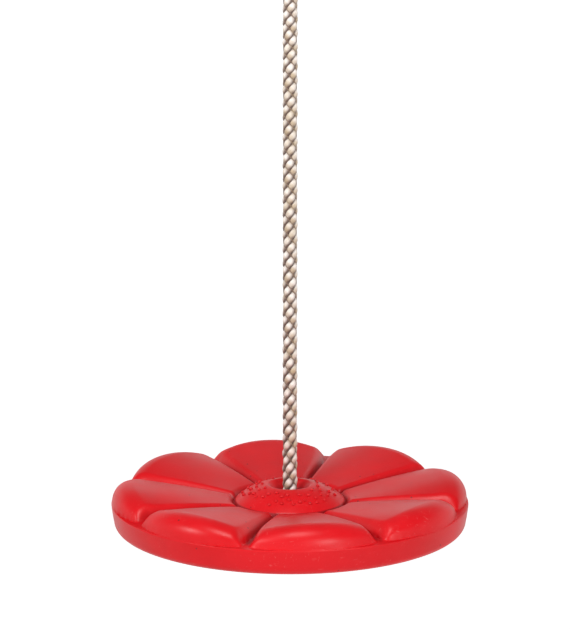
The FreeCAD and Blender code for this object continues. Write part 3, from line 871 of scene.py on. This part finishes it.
# %% [markdown]
# ## Twine, metal and black plastic
# The whipping is waxed black twine. The steel parts are zinc plated: a soft grey shine
# with small crystals, dull patches and a little brown where the plating has worn. The
# adjuster is black moulded plastic with a coarse grain.

# %% Other finishes
twine, tree, shader, place = finish("waxed_twine")
fuzz = noise(tree, place, 2600.0, Detail=3.0)
colour = mixed(tree, fuzz, (0.012, 0.012, 0.014, 1), (0.07, 0.068, 0.07, 1))
tree.links.new(colour, shader.inputs["Base Color"])
shader.inputs["Roughness"].default_value = 0.55
bumped(tree, shader, fuzz, 0.0002, 0.5)
for piece in (stopper_wrap, tail_wrap):
    piece.data.materials.append(twine)


def zinc(name, bright, dull, rough, stain=0.35):
    """Zinc plated steel."""
    material, tree, shader, place = finish(name)
    crystals = add(tree, "ShaderNodeTexVoronoi", {"feature": "F1"}, Vector=place, Scale=420.0)
    tint = add(tree, "ShaderNodeSeparateColor", None, Color=crystals.outputs["Color"]).outputs[0]
    cloud = noise(tree, place, 130.0, Detail=5.0, Roughness=0.65)
    colour = mixed(tree, spread(tree, cloud, 0.35, 0.7), bright, dull)
    colour = mixed(tree, sums(tree, "MULTIPLY", tint, 0.25), colour, (0.38, 0.39, 0.41, 1))
    rust = spread(tree, cloud, 0.60, 0.74, 0.0, stain)
    colour = mixed(tree, rust, colour, (0.25, 0.12, 0.05, 1))
    tree.links.new(colour, shader.inputs["Base Color"])
    tree.links.new(sums(tree, "SUBTRACT", 1.0, rust, clamp=True), shader.inputs["Metallic"])
    scored = use(tree, scratches, place, Scale=260.0, Amount=0.6)
    base = spread(tree, cloud, 0.3, 0.7, rough - 0.07, rough + 0.14)
    scuffed = sums(tree, "MULTIPLY", scored, 0.2)
    tree.links.new(sums(tree, "ADD", base, scuffed), shader.inputs["Roughness"])
    bumped(tree, shader, use(tree, grain, place, Scale=1500.0, Waviness=0.6), 0.0002, 0.25)
    return material


def textured_plastic(name, dark, light, rough, scale):
    """Hard moulded plastic with a coarse grain."""
    material, tree, shader, place = finish(name)
    cloud = noise(tree, place, 120.0, Detail=4.0)
    pale = use(tree, scratches, place, Scale=180.0, Amount=0.5)
    colour = mixed(tree, spread(tree, cloud, 0.35, 0.7), dark, light)
    tree.links.new(mixed(tree, pale, colour, (0.30, 0.30, 0.30, 1)), shader.inputs["Base Color"])
    dull = spread(tree, cloud, 0.3, 0.7, rough - 0.05, rough + 0.1)
    tree.links.new(dull, shader.inputs["Roughness"])
    bumped(tree, shader, use(tree, grain, place, Scale=scale, Waviness=0.3), 0.0003, 0.5)
    return material


zinc_steel = zinc("zinc_steel", (0.72, 0.73, 0.74, 1), (0.50, 0.51, 0.53, 1), 0.33)
thimble_steel = zinc("thimble_steel", (0.64, 0.64, 0.62, 1), (0.46, 0.46, 0.45, 1), 0.38, 0.5)
spring_steel = zinc("spring_steel", (0.56, 0.57, 0.60, 1), (0.42, 0.43, 0.46, 1), 0.25, 0.1)
black_plastic = textured_plastic(
    "black_plastic", (0.022, 0.022, 0.024, 1), (0.045, 0.044, 0.046, 1), 0.5, 1400.0,
)
adjuster.data.materials.clear()
adjuster.data.materials.append(black_plastic)

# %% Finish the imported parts
PACKED_FINISH = {
    "hook_body": zinc_steel, "gate": zinc_steel, "gate_rivet": spring_steel,
    "gate_plunger": spring_steel, "gate_spring": spring_steel, "steel_ring": zinc_steel,
    "rope_thimble": thimble_steel, "seat_washer": zinc_steel, "vent_plug": plug_red,
}
for node, material in PACKED_FINISH.items():
    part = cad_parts[node]
    for slot in part.material_slots:
        slot.material = material
    print(node, len(part.material_slots), "slots")

# %% [markdown]
# ## Light and floor
# Soft light comes from a wide panel above and a lower one in front, and a small one on
# the left gives the studs and crests their bright spots. The pale surroundings fill the
# shadows. The floor is a plain pale sheet a good way below the seat, since the swing
# hangs. It curves up a long way off, so that no horizon shows behind the swing from the
# side or from above, though its edge does show to a camera that looks up. It looks
# brighter to the camera than it shines on the swing, because a floor bright enough to
# look white would wash the red out.

# %% Floor and light
FLOOR_HEIGHT = SEAT_FOOT - 2.6
floor_mesh = bmesh.new()
section = [(0.0, 0.0), (3.0, 0.0), (10.0, 0.0), (12.5, 0.4), (14.0, 1.6), (14.6, 3.6), (14.6, 9.0)]
verts = [floor_mesh.verts.new((radius, 0, FLOOR_HEIGHT + height)) for radius, height in section]
edges = [floor_mesh.edges.new(pair) for pair in zip(verts, verts[1:])]
spin_round(floor_mesh, verts + edges, 96)
bmesh.ops.remove_doubles(floor_mesh, verts=floor_mesh.verts, dist=0.0001)
bmesh.ops.recalc_face_normals(floor_mesh, faces=floor_mesh.faces)
bmesh.ops.reverse_faces(floor_mesh, faces=floor_mesh.faces)
floor_data = bpy.data.meshes.new("floor")
floor_mesh.to_mesh(floor_data)
floor_mesh.free()
floor_data.shade_smooth()
floor = bpy.data.objects.new("floor", floor_data)
bpy.context.scene.collection.objects.link(floor)
pale, tree, shader, place = finish("pale_floor")
mottle = noise(tree, place, 3.0, Detail=3.0)
colour = mixed(tree, mottle, (0.90, 0.90, 0.90, 1), (0.93, 0.93, 0.93, 1))
tree.links.new(colour, shader.inputs["Base Color"])
shader.inputs["Roughness"].default_value = 0.95
shader.inputs["Specular IOR Level"].default_value = 0.0
shader.inputs["Emission Color"].default_value = (1, 1, 1, 1)
seen = add(tree, "ShaderNodeLightPath").outputs["Is Camera Ray"]
shine = spread(tree, seen, 0.0, 1.0, 0.29, 0.66)
tree.links.new(shine, shader.inputs["Emission Strength"])
floor_data.materials.append(pale)


def panel(name, place, size, power):
    """A square light panel that faces the seat."""
    light = bpy.data.lights.new(name, "AREA")
    light.shape = "RECTANGLE"
    light.size = light.size_y = size
    light.energy = power
    holder = bpy.data.objects.new(name, light)
    holder.location = place
    toward = Vector((0, 0, SEAT_FOOT + 0.1)) - Vector(place)
    holder.rotation_euler = toward.to_track_quat("-Z", "Y").to_euler()
    bpy.context.scene.collection.objects.link(holder)


panel("top_panel", (-0.25, -0.7, 0.8), 0.5, 10.0)
panel("front_panel", (0.9, -2.5, 0.0), 0.6, 22.0)
panel("key_panel", (-1.8, -0.70, 0.53), 0.24, 14.0)
world = bpy.data.worlds.new("surroundings")
world.use_nodes = True
sky = world.node_tree.nodes["Background"]
sky.inputs["Color"].default_value = (1, 1, 1, 1)
sky.inputs["Strength"].default_value = 0.26
bpy.context.scene.world = world
bpy.context.scene.view_settings.view_transform = "Standard"
bpy.context.scene.view_settings.look = "None"
print("floor at", round(FLOOR_HEIGHT, 3))
